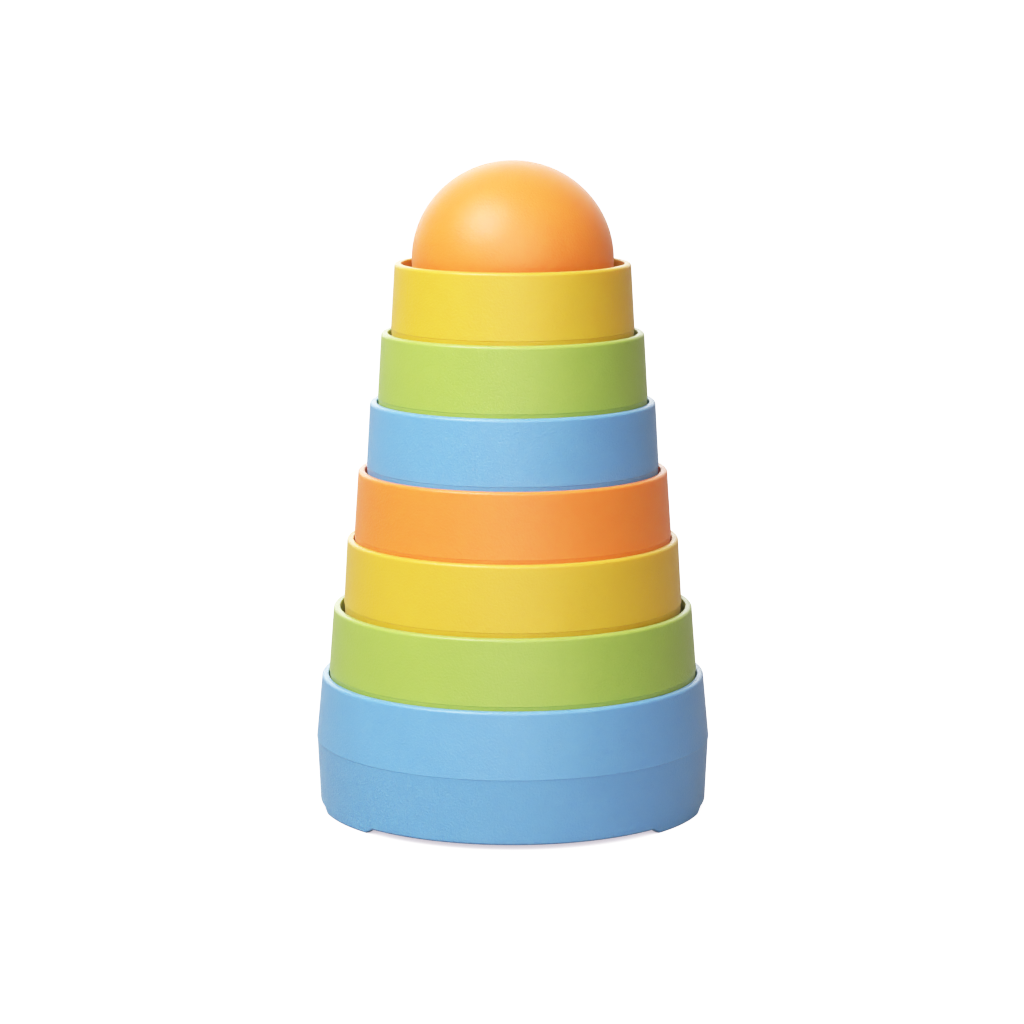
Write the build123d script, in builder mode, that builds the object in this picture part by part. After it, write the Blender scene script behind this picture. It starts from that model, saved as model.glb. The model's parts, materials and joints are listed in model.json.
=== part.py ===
from build123d import *

import os

# Stacking ring toy without a centre post: seven moulded rings of falling size stand one inside the
# other, and a hollow dome closes the stack. Millimetres, +Z up. The origin is the centre of the
# footprint, on the surface that the base ring's feet stand on, and the front of the toy is -Y.
#
# Every ring is widest at its waist, the parting plane at mid-height, and tapers both ways from it.
# Inside, just below the waist, a flat ledge runs around the wall. The ring above stands on that ledge
# with three low feet, so its waist comes to lie just above the rim of the ring below.

# Rings from the floor up: name, outer diameter of the rim, diameter of the waist.
RINGS = [
    ("base_ring", 150.0, 154.8),
    ("green_ring_large", 140.5, 144.5),
    ("yellow_ring_large", 129.5, 132.5),
    ("orange_ring", 120.5, 124.0),
    ("blue_ring_small", 111.0, 114.0),
    ("green_ring_small", 102.0, 105.0),
    ("yellow_ring_small", 91.5, 94.5),
]

# Heights shared by all the pieces, measured from their own waist plane.
RIM_UP = 25.4  # waist to the top of the rim
SKIRT_DOWN = 25.3  # waist to the lower edge, where it is cut back between the feet
FOOT = 2.0  # a foot reaches this much lower than that edge
PITCH = 26.85  # from one waist to the next, with the pieces stacked

# Wall, skirt and ledge.
WALL = 2.5  # wall thickness
SKIRT_IN = 1.4  # how much the skirt's radius falls from the waist to the foot
PARTING_STEP = 0.15  # the lower mould half leaves the skirt this much smaller at the parting plane
LEDGE_THICK = 2.0
LEDGE_WIDE = 16.0  # from the wall to the edge of the central hole
RIM_OUTER_ROUND = 1.2  # the rim is rounded over on the outside
RIM_INNER_ROUND = 0.4
LEDGE_ROUND = 0.9  # both edges of the central hole
CORNER_ROUND = 1.5  # between wall and ledge
FOOT_ROUND = 0.5  # both edges of a foot's sole

# Relief between the feet.
FEET = 3
RELIEF_ARC = 94.0  # degrees, at the level of the soles
RELIEF_SLOPE = 4.6  # length of the sloped end of a relief
FRONT = -90.0  # the direction of -Y: one relief is centred there, and a foot is at the back

# Dome.
DOME_RADIUS = 39.1  # at its waist
DOME_RISE = 37.9  # from its waist to its crown
BRIM_RADIUS = 42.8  # the brim centres the dome inside the top ring's wall
BRIM_THICK = 2.0
BRIM_ROUND = 0.6
BRIM_UP = 0.6  # the brim's underside, above the skirt's lower edge

FOOT_DOWN = SKIRT_DOWN + FOOT  # waist to the soles
LEDGE_TOP = PITCH - FOOT_DOWN  # the ledge's upper face, below the waist: the next soles rest on it
BASE_WAIST = FOOT_DOWN  # height of the base ring's waist above the floor


def relief_cutter():
    """One sector of the gap between two feet, with sloped ends, below a waist plane at Z = 0."""
    inner, outer = DOME_RADIUS / 2, RINGS[0][2]
    spare = FOOT / 2
    with BuildPart() as cutter:
        with BuildSketch(Plane.XZ):
            with Locations(((inner + outer) / 2, -FOOT_DOWN - spare)):
                Rectangle(outer - inner, FOOT + spare, align=(Align.CENTER, Align.MIN))
        revolve(axis=Axis.Z, revolution_arc=RELIEF_ARC)
        roof = cutter.faces().sort_by(Axis.Z)[-1]
        chamfer(roof.edges().filter_by(GeomType.LINE), RELIEF_SLOPE, FOOT, reference=roof)
    return cutter.part


def relieve(cutter):
    """Cut the current part's lower edge back between its feet."""
    with PolarLocations(0, FEET, start_angle=FRONT - RELIEF_ARC / 2):
        add(cutter, mode=Mode.SUBTRACT)


def ring(rim, waist, cutter):
    """A ring of rim radius and waist radius, on a waist plane at Z = 0: wall, skirt, ledge and feet."""
    sole = waist - SKIRT_IN
    hole = waist - WALL - LEDGE_WIDE
    with BuildPart() as body:
        with BuildSketch(Plane.XZ) as section:
            with BuildLine():
                Polyline(
                    (rim, RIM_UP),
                    (rim - WALL, RIM_UP),
                    (waist - WALL, LEDGE_TOP),
                    (hole, LEDGE_TOP),
                    (hole, LEDGE_TOP - LEDGE_THICK),
                    (waist - WALL, LEDGE_TOP - LEDGE_THICK),
                    (sole - WALL, -FOOT_DOWN),
                    (sole, -FOOT_DOWN),
                    (waist - PARTING_STEP, 0),
                    (waist, 0),
                    close=True,
                )
            make_face()
            ledge_levels = section.vertices().group_by(Axis.Y)[1:3]
            fillet([level.sort_by(Axis.X)[-1] for level in ledge_levels], CORNER_ROUND)
            fillet(section.vertices().group_by(Axis.X)[0], LEDGE_ROUND)
            fillet(section.vertices().group_by(Axis.Y)[0], FOOT_ROUND)
            fillet(section.vertices().group_by(Axis.Y)[-1].sort_by(Axis.X)[-1], RIM_OUTER_ROUND)
            fillet(section.vertices().group_by(Axis.Y)[-1].sort_by(Axis.X)[0], RIM_INNER_ROUND)
        revolve(axis=Axis.Z)
        relieve(cutter)
    return body.part


def quarter_ellipse(radius, rise):
    """A quarter of an ellipse about the origin, as one cubic curve that is true to 0.03 percent."""
    pull = 4 / 3 * (2**0.5 - 1)
    Bezier((radius, 0), (radius, pull * rise), (pull * radius, rise), (0, rise))


def dome(cutter):
    """The hollow cap on a waist plane at Z = 0: half an ellipsoid over a skirt with a brim and feet."""
    sole = DOME_RADIUS - SKIRT_IN
    brim = -SKIRT_DOWN + BRIM_UP
    with BuildPart() as body:
        with BuildSketch(Plane.XZ) as section:
            with BuildLine():
                quarter_ellipse(DOME_RADIUS, DOME_RISE)
                quarter_ellipse(DOME_RADIUS - WALL, DOME_RISE - WALL)
                Line((0, DOME_RISE), (0, DOME_RISE - WALL))
                Polyline(
                    (DOME_RADIUS - WALL, 0),
                    (sole - WALL, -FOOT_DOWN),
                    (sole, -FOOT_DOWN),
                    (sole, brim),
                    (BRIM_RADIUS, brim),
                    (BRIM_RADIUS, brim + BRIM_THICK),
                    (sole, brim + BRIM_THICK),
                    (DOME_RADIUS, 0),
                )
            make_face()
            fillet(section.vertices().group_by(Axis.X)[-1], BRIM_ROUND)
            fillet(section.vertices().group_by(Axis.Y)[0], FOOT_ROUND)
        revolve(axis=Axis.Z)
        relieve(cutter)
    return body.part


def place(piece, name, waist_height):
    """Stand a piece at its height in the stack, name it and write its file."""
    with BuildPart(Plane.XY.offset(waist_height)) as node:
        add(piece)
    node.part.label = name
    export_step(node.part, f"parts/{name}.step")


os.makedirs("parts", exist_ok=True)
cutter = relief_cutter()
for level, (name, rim_diameter, waist_diameter) in enumerate(RINGS):
    piece = ring(rim_diameter / 2, waist_diameter / 2, cutter)
    place(piece, name, BASE_WAIST + level * PITCH)
place(dome(cutter), "dome", BASE_WAIST + len(RINGS) * PITCH)
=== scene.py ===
"""Looks of the stacking ring toy: seven moulded rings nested on each other's ledges, and a dome.

Every piece is lathed here as a closed mesh from the same section as its CAD node, with its rounded
edges, parting line and relieved feet, and takes its place from that node's box, and a ring its
diameter too.
Units are metres, +Z up, and the front of the toy is -Y.
"""

import json
import math

import bpy
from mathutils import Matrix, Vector


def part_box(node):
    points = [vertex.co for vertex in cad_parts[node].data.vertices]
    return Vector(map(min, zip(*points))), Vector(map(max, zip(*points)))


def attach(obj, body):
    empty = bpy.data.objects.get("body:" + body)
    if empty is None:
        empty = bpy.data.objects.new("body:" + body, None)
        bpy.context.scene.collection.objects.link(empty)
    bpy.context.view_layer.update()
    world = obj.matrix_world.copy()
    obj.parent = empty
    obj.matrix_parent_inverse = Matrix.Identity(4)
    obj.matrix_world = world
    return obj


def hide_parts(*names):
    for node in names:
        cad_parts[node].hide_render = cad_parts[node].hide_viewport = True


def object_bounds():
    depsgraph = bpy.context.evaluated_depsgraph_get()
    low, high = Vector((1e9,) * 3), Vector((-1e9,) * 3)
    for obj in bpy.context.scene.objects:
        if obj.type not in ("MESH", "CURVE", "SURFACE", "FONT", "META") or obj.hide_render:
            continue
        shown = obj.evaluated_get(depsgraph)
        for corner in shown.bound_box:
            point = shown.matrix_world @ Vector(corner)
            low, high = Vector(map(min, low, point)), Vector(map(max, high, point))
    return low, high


MM = 0.001

# The section that all the rings share, measured from the waist plane, which is the parting plane.
RIM_UP = 25.4 * MM
SKIRT_DOWN = 25.3 * MM
FOOT = 2.0 * MM
LEDGE_DOWN = 0.45 * MM
LEDGE_THICK = 2.0 * MM
LEDGE_WIDE = 16.0 * MM
WALL = 2.5 * MM
SKIRT_IN = 1.4 * MM
PARTING_STEP = 0.15 * MM
GROOVE_TALL = 0.45 * MM
GROOVE_DEEP = 0.18 * MM
GROOVE_BOTTOM = 0.4  # of GROOVE_TALL, below the parting plane
FOOT_DOWN = SKIRT_DOWN + FOOT

# Rounded edges.
RIM_OUTER_ROUND = 1.2 * MM
RIM_INNER_ROUND = 0.4 * MM
CORNER_ROUND = 1.5 * MM
LEDGE_ROUND = 0.9 * MM
SOLE_ROUND = 0.8 * MM
GROOVE_LIP_ROUND = 0.12 * MM
GROOVE_ROUND = 0.04 * MM
BRIM_ROUND = 0.6 * MM
BRIM_TOP_ROUND = 0.5 * MM
BRIM_UNDER_ROUND = 0.3 * MM
DOME_WAIST_ROUND = 0.2 * MM

# The dome above and below its waist.
DOME_BRIM = 42.8 * MM
DOME_RADIUS = 39.1 * MM
BRIM_THICK = 2.0 * MM
BRIM_UP = 0.6 * MM
DOME_STEPS = 40
DOME_JOIN = 0.3 * MM

# Feet: their number, the reliefs between them, and the heights over the sole between which the wall
# follows a relief less and less.
FEET = 3
RELIEF_ARC = math.radians(96)
RELIEF_SLOPE = 4.6 * MM
RELIEF_WHOLE = 0.9 * MM
RELIEF_FADED = 7.0 * MM
FRONT = -math.pi / 2

# How finely a piece is divided, how far the finer columns reach past a slope, as a share of it, and
# how near to the axis a point counts as on it.
COLUMN_STEP = math.radians(1.5)
COLUMN_FINE = math.radians(0.3)
FINE_MARGIN = 0.5
RUN_STEP = 3.0 * MM
ARC_STEPS = 7
ON_AXIS = 1e-7

# How far the rim of each ring is drawn in from its waist, on radius.
RIM_IN = {
    "base_ring": 2.4 * MM,
    "green_ring_large": 2.0 * MM,
    "yellow_ring_large": 1.5 * MM,
    "orange_ring": 1.75 * MM,
    "blue_ring_small": 1.5 * MM,
    "green_ring_small": 1.5 * MM,
    "yellow_ring_small": 1.5 * MM,
}

# Linear colours of the moulded plastic.
PLASTICS = {
    "yellow_plastic": (0.675, 0.430, 0.026),
    "green_plastic": (0.325, 0.455, 0.078),
    "blue_plastic": (0.142, 0.337, 0.600),
    "orange_plastic": (0.920, 0.236, 0.029),
}

# How the plastic looks: light scattered below the surface, a trace of sheen, the range of roughness,
# and how far a rounded edge is smoother and paler (wear and a painted highlight) and the sole's edge
# darker (painted shade) than the rest.
IOR = 1.5
SCATTER = 0.75
SCATTER_RGB = (1.0, 0.8, 0.6)
SCATTER_REACH = 3.5 * MM
SHEEN = 0.12
SHEEN_ROUGHNESS = 0.35
ROUGHNESS = (0.36, 0.48)
WORN_SMOOTHER = 0.08
WEAR_AND_HIGHLIGHT_PALER = 0.04
WEAR_AND_HIGHLIGHT_WHITE = 0.2
SOLE_SHADE = 0.45
SOLE_SHADE_UP = 0.95 * MM

# Its mottling and its moulded texture: noise scale, detail and roughness of each, how much lighter and
# darker the mottling goes, and the strength and depth of each bump.
CLOUD = (38.0, 3.0, 0.55)
SPECK = (900.0, 2.0, 0.6)
GRAIN = (1150.0, 3.0, 0.6)
PEEL = (240.0, 2.0, 0.5)
CLOUD_SHARE = 0.7
MOTTLE = (0.93, 1.05)
MOTTLE_LIFT = 0.004
GRAIN_BUMP = (0.7, 0.20 * MM)
PEEL_BUMP = (0.25, 0.12 * MM)

# The key lamp: the azimuth and elevation it comes from in degrees, its distance and width in metres,
# and its power.
KEY_FROM = (-44, 50)
KEY_DISTANCE = 0.9
KEY_WIDTH = 0.5
KEY_POWER = 12.9

# The surround: azimuth, elevation, sharpness, strength and colour of each panel.
PANELS = [
    (0, 12, 9.0, 4.15, (1.0, 1.0, 1.0)),
    (20, 40, 16.0, 1.4, (1.0, 1.0, 1.0)),
    (-45, 20, 5.0, 0.3, (1.0, 1.0, 1.0)),
    (0, 80, 5.0, 0.50, (1.0, 1.0, 1.0)),
    (180, 26, 6.0, 2.0, (1.0, 1.0, 1.0)),
    (140, 22, 8.0, 0.4, (1.0, 0.7, 0.5)),
    (-165, 6, 8.0, 2.5, (1.0, 1.0, 1.0)),
    (75, 25, 8.0, 0.5, (1.0, 0.50, 0.35)),
]

# What the camera sees behind the toy, and the floor: its size from the middle, its own colour, the
# glow that it shows the camera alone, how far off a thing can dim that glow as painted shadow, and the
# share of that glow left in full painted shadow, with its tint.
BACKDROP = 2.5
FLOOR_REACH = 40.0
FLOOR_COLOUR = (0.24, 0.22, 0.22)
FLOOR_ROUGHNESS = 0.9
FLOOR_GLOW = 2.2
PAINTED_SHADOW_REACH = 250.0 * MM
PAINTED_SHADOW_SHARE = 0.28
PAINTED_SHADOW_TINT = (0.95, 0.88, 1.0)

# The camera: place, upward turn from straight down, in degrees, and lens.
CAMERA_PLACE = (-0.0003, -1.2472, 0.3252)
CAMERA_TURN = 80.473
CAMERA_LENS = 113.5
CAMERA_SENSOR = 36.0
CAMERA_CLIP = 200.0

# The camera's response: scene light against the light that is shown.
RESPONSE_WHITE = 2.2
RESPONSE = [
    (0, 0),
    (0.25, 0.25),
    (0.5, 0.5),
    (0.8, 0.70),
    (1.0, 0.80),
    (1.3, 0.89),
    (1.7, 0.96),
    (RESPONSE_WHITE, 1.0),
]


def rounded(corners):
    """Points (r, z, edge) of a closed outline: each (r, z, radius) corner becomes an arc, and each run
    between corners is divided. edge is 1 on an arc and 0 on a run."""
    points = []
    count = len(corners)
    cuts = []
    for i, (r, z, radius) in enumerate(corners):
        before, after = corners[i - 1], corners[(i + 1) % count]
        to_before = (before[0] - r, before[1] - z)
        to_after = (after[0] - r, after[1] - z)
        len_before, len_after = math.hypot(*to_before), math.hypot(*to_after)
        ub = (to_before[0] / len_before, to_before[1] / len_before)
        ua = (to_after[0] / len_after, to_after[1] / len_after)
        turn = math.acos(max(-1.0, min(1.0, ub[0] * ua[0] + ub[1] * ua[1])))
        reach = radius / math.tan(turn / 2)
        start = (r + ub[0] * reach, z + ub[1] * reach)
        end = (r + ua[0] * reach, z + ua[1] * reach)
        bisector = (ub[0] + ua[0], ub[1] + ua[1])
        size = math.hypot(*bisector)
        away = radius / math.sin(turn / 2)
        centre = (r + bisector[0] / size * away, z + bisector[1] / size * away)
        cuts.append((start, end, centre, radius))
    for i, (start, end, centre, radius) in enumerate(cuts):
        first = math.atan2(start[1] - centre[1], start[0] - centre[0])
        last = math.atan2(end[1] - centre[1], end[0] - centre[0])
        sweep = (last - first + math.pi) % (2 * math.pi) - math.pi
        for k in range(ARC_STEPS + 1):
            a = first + sweep * k / ARC_STEPS
            points.append((centre[0] + radius * math.cos(a), centre[1] + radius * math.sin(a), 1.0))
        points += divided(end, cuts[(i + 1) % count][0], min(radius, cuts[(i + 1) % count][3]))
    return points


def divided(start, end, support):
    """The points inside a straight run: one close to each end, to hold the shading flat, and even
    steps between those."""
    length = math.hypot(end[0] - start[0], end[1] - start[1])
    inner = length - 2 * support
    if inner <= support:
        return []
    steps = max(1, round(inner / RUN_STEP))
    shares = [(support + inner * k / steps) / length for k in range(steps + 1)]
    across, up = end[0] - start[0], end[1] - start[1]
    return [(start[0] + across * t, start[1] + up * t, 0.0) for t in shares]


def relief_columns(radius):
    """Azimuths all round, finer where a relief's end slopes, with the share of the relief's height by
    which the lower edge is raised at each."""
    slope = RELIEF_SLOPE / radius
    pitch = 2 * math.pi / FEET
    outer = RELIEF_ARC / 2 + slope * FINE_MARGIN
    inner = RELIEF_ARC / 2 - slope * (1 + FINE_MARGIN)
    azimuths = []
    for n in range(FEET):
        middle = FRONT + n * pitch
        stops = [-pitch / 2, -outer, -inner, inner, outer, pitch / 2]
        for k, (a, b) in enumerate(zip(stops, stops[1:])):
            step = COLUMN_FINE if k in (1, 3) else COLUMN_STEP
            count = max(1, round((b - a) / step))
            azimuths += [middle + a + (b - a) * j / count for j in range(count)]
    return [(a, relief_height(a, slope)) for a in azimuths]


def relief_height(azimuth, slope):
    """The share of a relief's height at an azimuth: 0 under a foot and 1 in a relief, with a slope
    between them that is half straight and half eased."""
    pitch = 2 * math.pi / FEET
    off = abs((azimuth - FRONT + pitch / 2) % pitch - pitch / 2)
    t = max(0.0, min(1.0, (RELIEF_ARC / 2 - off) / slope))
    eased = t * t * (3 - 2 * t)
    return 0.5 * (t + eased)


def lathe(name, outline, waist_z, radius):
    """A closed outline of (r, z, edge) turned about the axis, its lower edge cut back between the feet.
    The outline goes down the outside and up the inside, so the faces look outwards, and a point on the
    axis becomes a single vertex. The point attribute set here is 1 along rounded edges, for wear and a
    painted highlight, and falls to -1 down the edge of the soles, for painted shade."""
    columns = relief_columns(radius)
    draft = SKIRT_IN / FOOT_DOWN
    verts, edges, rows = [], [], []
    for r, z, edge in outline:
        over_sole = FOOT_DOWN + z
        follow = max(0.0, min(1.0, (RELIEF_FADED - over_sole) / (RELIEF_FADED - RELIEF_WHOLE)))
        if r < ON_AXIS:
            rows.append([len(verts)] * len(columns))
            verts.append((0.0, 0.0, waist_z + z))
            edges.append(edge)
            continue
        # Painted shade: the mark falls to -1 down the sole's edge, where the material darkens the
        # colour.
        if over_sole < SOLE_SHADE_UP:
            edge = over_sole / SOLE_SHADE_UP - 1.0
        row = []
        for azimuth, raised in columns:
            lift = raised * follow * FOOT
            at = r + lift * draft
            row.append(len(verts))
            verts.append((at * math.cos(azimuth), at * math.sin(azimuth), waist_z + z + lift))
            edges.append(edge)
        rows.append(row)
    faces = []
    count = len(columns)
    for i, row in enumerate(rows):
        below = rows[(i + 1) % len(rows)]
        for j in range(count):
            k = (j + 1) % count
            quad = [row[j], below[j], below[k], row[k]]
            face = [v for n, v in enumerate(quad) if v != quad[n - 1]]
            if len(face) > 2:
                faces.append(face)
    mesh = bpy.data.meshes.new(name)
    mesh.from_pydata(verts, [], faces)
    mesh.validate()
    wear_highlight_and_sole_shade = mesh.attributes.new("wear_highlight_and_sole_shade", "FLOAT", "POINT")
    wear_highlight_and_sole_shade.data.foreach_set("value", edges)
    mesh.shade_smooth()
    piece = bpy.data.objects.new(name, mesh)
    bpy.context.scene.collection.objects.link(piece)
    return piece


def ring_outline(waist, rim):
    """The section of a ring, from its rim down the outside and back up the inside."""
    sole = waist - SKIRT_IN
    hole = waist - WALL - LEDGE_WIDE
    ledge_under = -LEDGE_DOWN - LEDGE_THICK
    return rounded(
        [
            (rim, RIM_UP, RIM_OUTER_ROUND),
            (waist, 0.0, GROOVE_LIP_ROUND),
            (waist - GROOVE_DEEP, -GROOVE_TALL * GROOVE_BOTTOM, GROOVE_ROUND),
            (waist - PARTING_STEP - SKIRT_IN * GROOVE_TALL / FOOT_DOWN, -GROOVE_TALL, GROOVE_LIP_ROUND),
            (sole, -FOOT_DOWN, SOLE_ROUND),
            (sole - WALL, -FOOT_DOWN, SOLE_ROUND),
            (waist - WALL, ledge_under, CORNER_ROUND),
            (hole, ledge_under, LEDGE_ROUND),
            (hole, -LEDGE_DOWN, LEDGE_ROUND),
            (waist - WALL, -LEDGE_DOWN, CORNER_ROUND),
            (rim - WALL, RIM_UP, RIM_INNER_ROUND),
        ]
    )


def dome_outline(radius, rise):
    """The section of the hollow dome, from its crown down the outside and back up the inside."""
    sole = radius - SKIRT_IN
    brim = BRIM_UP - SKIRT_DOWN
    outside, inside = [], []
    for k in range(DOME_STEPS + 1):
        a = math.pi / 2 * k / DOME_STEPS
        outside.append((radius * math.sin(a), rise * math.cos(a), 0.0))
        inside.append(((radius - WALL) * math.sin(a), (rise - WALL) * math.cos(a), 0.0))
    lower = rounded(
        [
            (radius - WALL, 0.0, DOME_WAIST_ROUND),
            (radius, 0.0, DOME_WAIST_ROUND),
            (sole, brim + BRIM_THICK, BRIM_TOP_ROUND),
            (DOME_BRIM, brim + BRIM_THICK, BRIM_ROUND),
            (DOME_BRIM, brim, BRIM_ROUND),
            (sole, brim, BRIM_UNDER_ROUND),
            (sole, -FOOT_DOWN, SOLE_ROUND),
            (sole - WALL, -FOOT_DOWN, SOLE_ROUND),
        ]
    )
    below_waist = [p for p in lower if p[1] < -DOME_JOIN]
    return outside + below_waist + inside[::-1]


def math_node(nodes, links, operation, *values):
    """A math node's output, with each input set to a number or linked to a socket."""
    node = nodes.new("ShaderNodeMath")
    node.operation = operation
    for socket, value in zip(node.inputs, values):
        if isinstance(value, (int, float)):
            socket.default_value = value
        else:
            links.new(value, socket)
    return node.outputs[0]


def mix_node(nodes, links, factor, first, second):
    """The mix of two colours, each a linear RGB triple or a socket, by a factor held to 0..1."""
    node = nodes.new("ShaderNodeMix")
    node.data_type = "RGBA"
    links.new(factor, node.inputs["Factor"])
    for name, colour in (("A", first), ("B", second)):
        if isinstance(colour, tuple):
            node.inputs[name].default_value = (*colour, 1)
        else:
            links.new(colour, node.inputs[name])
    return node.outputs["Result"]


def plastic(name, colour):
    """Satin moulded plastic: slight mottling, a fine spark-eroded texture, smoother rounded edges
    painted paler as wear and a painted highlight, and painted shade darkening the edge round the soles."""
    material = bpy.data.materials.new(name)
    material.use_nodes = True
    nodes, links = material.node_tree.nodes, material.node_tree.links
    shader = nodes["Principled BSDF"]
    shader.inputs["IOR"].default_value = IOR
    shader.inputs["Subsurface Weight"].default_value = SCATTER
    shader.inputs["Subsurface Radius"].default_value = SCATTER_RGB
    shader.inputs["Subsurface Scale"].default_value = SCATTER_REACH
    shader.inputs["Sheen Weight"].default_value = SHEEN
    shader.inputs["Sheen Roughness"].default_value = SHEEN_ROUGHNESS
    place = nodes.new("ShaderNodeTexCoord").outputs["Object"]

    def noise(scale, detail, roughness):
        node = nodes.new("ShaderNodeTexNoise")
        node.inputs["Scale"].default_value = scale
        node.inputs["Detail"].default_value = detail
        node.inputs["Roughness"].default_value = roughness
        links.new(place, node.inputs["Vector"])
        return node.outputs["Fac"]

    def bump(height, strength, depth):
        node = nodes.new("ShaderNodeBump")
        node.inputs["Strength"].default_value = strength
        node.inputs["Distance"].default_value = depth
        links.new(height, node.inputs["Height"])
        return node

    attribute = nodes.new("ShaderNodeAttribute")
    attribute.attribute_name = "wear_highlight_and_sole_shade"
    wear_highlight_and_sole_shade = attribute.outputs["Fac"]
    cloud = noise(*CLOUD)

    specks = math_node(nodes, links, "MULTIPLY", noise(*SPECK), 1.0 - CLOUD_SHARE)
    blotch = math_node(nodes, links, "MULTIPLY_ADD", cloud, CLOUD_SHARE, specks)
    darker = tuple(c * MOTTLE[0] for c in colour)
    lighter = tuple(min(1.0, c * MOTTLE[1] + MOTTLE_LIFT) for c in colour)
    mottled = mix_node(nodes, links, blotch, darker, lighter)
    # Rounded edges go paler towards white: partly wear, partly a painted highlight.
    paler = math_node(nodes, links, "MULTIPLY", wear_highlight_and_sole_shade, WEAR_AND_HIGHLIGHT_PALER)
    whitened = tuple(c + (1.0 - c) * WEAR_AND_HIGHLIGHT_WHITE for c in colour)
    edged = mix_node(nodes, links, paler, mottled, whitened)
    # Painted shade: the edge round the soles is darkened towards SOLE_SHADE of its colour.
    at_sole = math_node(nodes, links, "MULTIPLY", wear_highlight_and_sole_shade, -1.0)
    shaded = mix_node(nodes, links, at_sole, edged, tuple(c * SOLE_SHADE for c in colour))
    links.new(shaded, shader.inputs["Base Color"])

    rough = nodes.new("ShaderNodeMapRange")
    rough.inputs["To Min"].default_value, rough.inputs["To Max"].default_value = ROUGHNESS
    links.new(cloud, rough.inputs["Value"])
    smoother = math_node(nodes, links, "MULTIPLY", wear_highlight_and_sole_shade, WORN_SMOOTHER)
    roughness = math_node(nodes, links, "SUBTRACT", rough.outputs["Result"], smoother)
    links.new(roughness, shader.inputs["Roughness"])

    fine = bump(noise(*GRAIN), *GRAIN_BUMP)
    broad = bump(noise(*PEEL), *PEEL_BUMP)
    links.new(fine.outputs["Normal"], broad.inputs["Normal"])
    links.new(broad.outputs["Normal"], shader.inputs["Normal"])
    return material


def add_pieces(frame):
    """Lathe every piece in the place of its CAD node."""
    materials = {slot: plastic(slot, colour) for slot, colour in PLASTICS.items()}
    slots = {s["node"]: s["material_slot"] for s in frame["record"]["subparts"]}
    for node in frame["nodes"]:
        low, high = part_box(node)
        if node == "dome":
            waist_z = low.z + FOOT_DOWN
            outline = dome_outline(DOME_RADIUS, high.z - waist_z)
            piece = lathe(node + "_shell", outline, waist_z, DOME_RADIUS)
        else:
            waist = (high.x - low.x) / 2
            outline = ring_outline(waist, waist - RIM_IN[node])
            piece = lathe(node + "_body", outline, low.z + FOOT_DOWN, waist)
        piece.data.materials.append(materials[slots[node]])
        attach(piece, node)
        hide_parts(node)


def add_floor():
    """A plain pale floor that runs out of sight. The camera alone sees it glow white, with a painted
    shadow where the toy shuts off more than half of the sky: close under its edge and inside it."""
    material = bpy.data.materials.new("pale_floor")
    material.use_nodes = True
    nodes, links = material.node_tree.nodes, material.node_tree.links
    shader = nodes["Principled BSDF"]
    shader.inputs["Base Color"].default_value = (*FLOOR_COLOUR, 1)
    shader.inputs["Roughness"].default_value = FLOOR_ROUGHNESS
    # Painted shadow: the camera's glow is dimmed and tinted where ambient occlusion finds the toy
    # close.
    sky = nodes.new("ShaderNodeAmbientOcclusion")
    sky.inputs["Distance"].default_value = PAINTED_SHADOW_REACH
    open_half = math_node(nodes, links, "MULTIPLY", sky.outputs["AO"], 2.0)
    open_half.node.use_clamp = True
    tint = mix_node(nodes, links, open_half, PAINTED_SHADOW_TINT, (1.0, 1.0, 1.0))
    links.new(tint, shader.inputs["Emission Color"])
    share = math_node(nodes, links, "MULTIPLY_ADD", open_half, 1.0 - PAINTED_SHADOW_SHARE, PAINTED_SHADOW_SHARE)
    lit = math_node(nodes, links, "MULTIPLY", share, FLOOR_GLOW)
    path = nodes.new("ShaderNodeLightPath")
    glow = math_node(nodes, links, "MULTIPLY", path.outputs["Is Camera Ray"], lit)
    links.new(glow, shader.inputs["Emission Strength"])
    mesh = bpy.data.meshes.new("floor")
    signs = [(-1, -1), (1, -1), (1, 1), (-1, 1)]
    mesh.from_pydata([(x * FLOOR_REACH, y * FLOOR_REACH, 0) for x, y in signs], [], [(0, 1, 2, 3)])
    mesh.materials.append(material)
    floor = bpy.data.objects.new("floor", mesh)
    bpy.context.scene.collection.objects.link(floor)


def towards(azimuth, elevation):
    """The unit vector to a place in the studio: azimuth 0 is the front, -Y, and 90 degrees is the
    right, +X."""
    a, e = math.radians(azimuth), math.radians(elevation)
    return Vector((math.cos(e) * math.sin(a), -math.cos(e) * math.cos(a), math.sin(e)))


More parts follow.
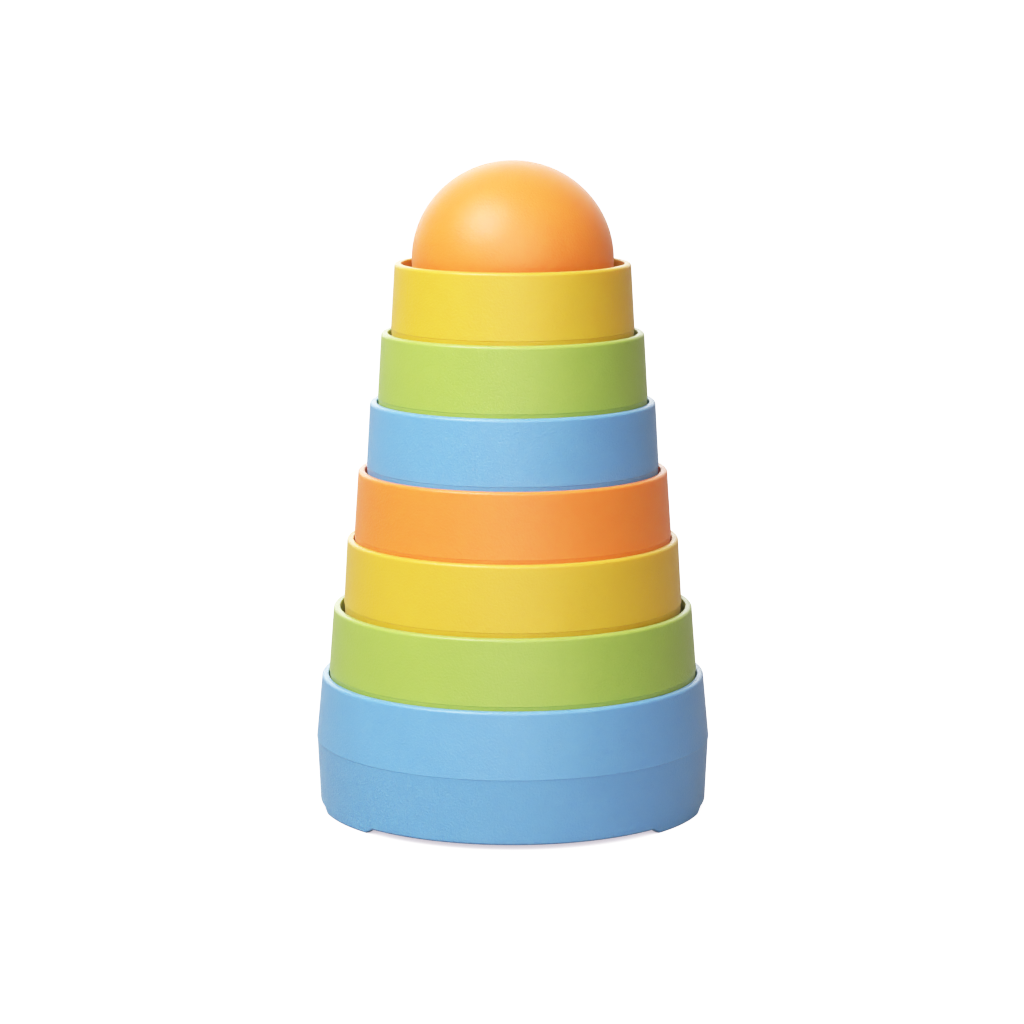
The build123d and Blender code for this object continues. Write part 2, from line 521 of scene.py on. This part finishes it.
def add_light(cad_height):
    """Soft studio light: a key lamp from the front left above, and a surround of soft panels. The
    camera sees the surround as plain white."""
    key = bpy.data.lights.new("key", "AREA")
    key.energy = KEY_POWER
    key.size = KEY_WIDTH
    lamp = bpy.data.objects.new("key", key)
    lamp.location = Vector((0, 0, cad_height / 2)) + towards(*KEY_FROM) * KEY_DISTANCE
    lamp.rotation_euler = towards(*KEY_FROM).to_track_quat("Z", "Y").to_euler()
    bpy.context.scene.collection.objects.link(lamp)
    world = bpy.data.worlds.new("surround")
    world.use_nodes = True
    bpy.context.scene.world = world
    nodes, links = world.node_tree.nodes, world.node_tree.links
    direction = nodes.new("ShaderNodeTexCoord").outputs["Generated"]
    total = None
    for azimuth, elevation, sharpness, strength, colour in PANELS:
        facing = nodes.new("ShaderNodeVectorMath")
        facing.operation = "DOT_PRODUCT"
        facing.inputs[1].default_value = towards(azimuth, elevation)
        links.new(direction, facing.inputs[0])
        side = math_node(nodes, links, "MAXIMUM", facing.outputs["Value"], 0.0)
        lobe = math_node(nodes, links, "POWER", side, sharpness)
        lit = nodes.new("ShaderNodeVectorMath")
        lit.operation = "MULTIPLY_ADD"
        links.new(lobe, lit.inputs[0])
        lit.inputs[1].default_value = [strength * c for c in colour]
        if total is not None:
            links.new(total, lit.inputs[2])
        total = lit.outputs["Vector"]
    back = nodes["Background"]
    links.new(total, back.inputs["Color"])
    white = nodes.new("ShaderNodeBackground")
    white.inputs["Color"].default_value = (1, 1, 1, 1)
    white.inputs["Strength"].default_value = BACKDROP
    path = nodes.new("ShaderNodeLightPath")
    mix = nodes.new("ShaderNodeMixShader")
    links.new(path.outputs["Is Camera Ray"], mix.inputs["Fac"])
    links.new(back.outputs["Background"], mix.inputs[1])
    links.new(white.outputs["Background"], mix.inputs[2])
    links.new(mix.outputs["Shader"], nodes["World Output"].inputs["Surface"])


def add_camera():
    """A long lens a little above the toy, looking down by ten degrees."""
    data = bpy.data.cameras.new("camera")
    data.sensor_width = CAMERA_SENSOR
    data.lens = CAMERA_LENS
    data.clip_end = CAMERA_CLIP
    camera = bpy.data.objects.new("camera", data)
    camera.location = CAMERA_PLACE
    camera.rotation_euler = (math.radians(CAMERA_TURN), 0.0, 0.0)
    bpy.context.scene.collection.objects.link(camera)
    bpy.context.scene.camera = camera


def set_response():
    """The camera's response: straight in the shadows and mid-tones, with highlights that roll off."""
    settings = bpy.context.scene.view_settings
    settings.view_transform = "Standard"
    settings.use_curve_mapping = True
    mapping = settings.curve_mapping
    mapping.white_level = (RESPONSE_WHITE,) * 3
    curve = mapping.curves[3]  # the one for all three colours together
    for x, y in RESPONSE[1:-1]:
        curve.points.new(x / RESPONSE_WHITE, y)
    mapping.update()


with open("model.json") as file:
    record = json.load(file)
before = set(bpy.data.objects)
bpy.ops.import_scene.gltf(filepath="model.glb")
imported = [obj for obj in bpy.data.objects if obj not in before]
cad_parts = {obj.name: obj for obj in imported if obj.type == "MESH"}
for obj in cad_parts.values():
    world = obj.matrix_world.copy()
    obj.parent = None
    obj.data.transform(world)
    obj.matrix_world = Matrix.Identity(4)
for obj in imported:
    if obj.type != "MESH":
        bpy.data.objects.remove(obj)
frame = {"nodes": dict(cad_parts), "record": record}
cad_box = [list(corner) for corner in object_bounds()]
add_camera()
add_pieces(frame)
add_floor()
add_light(cad_box[1][2])
set_response()
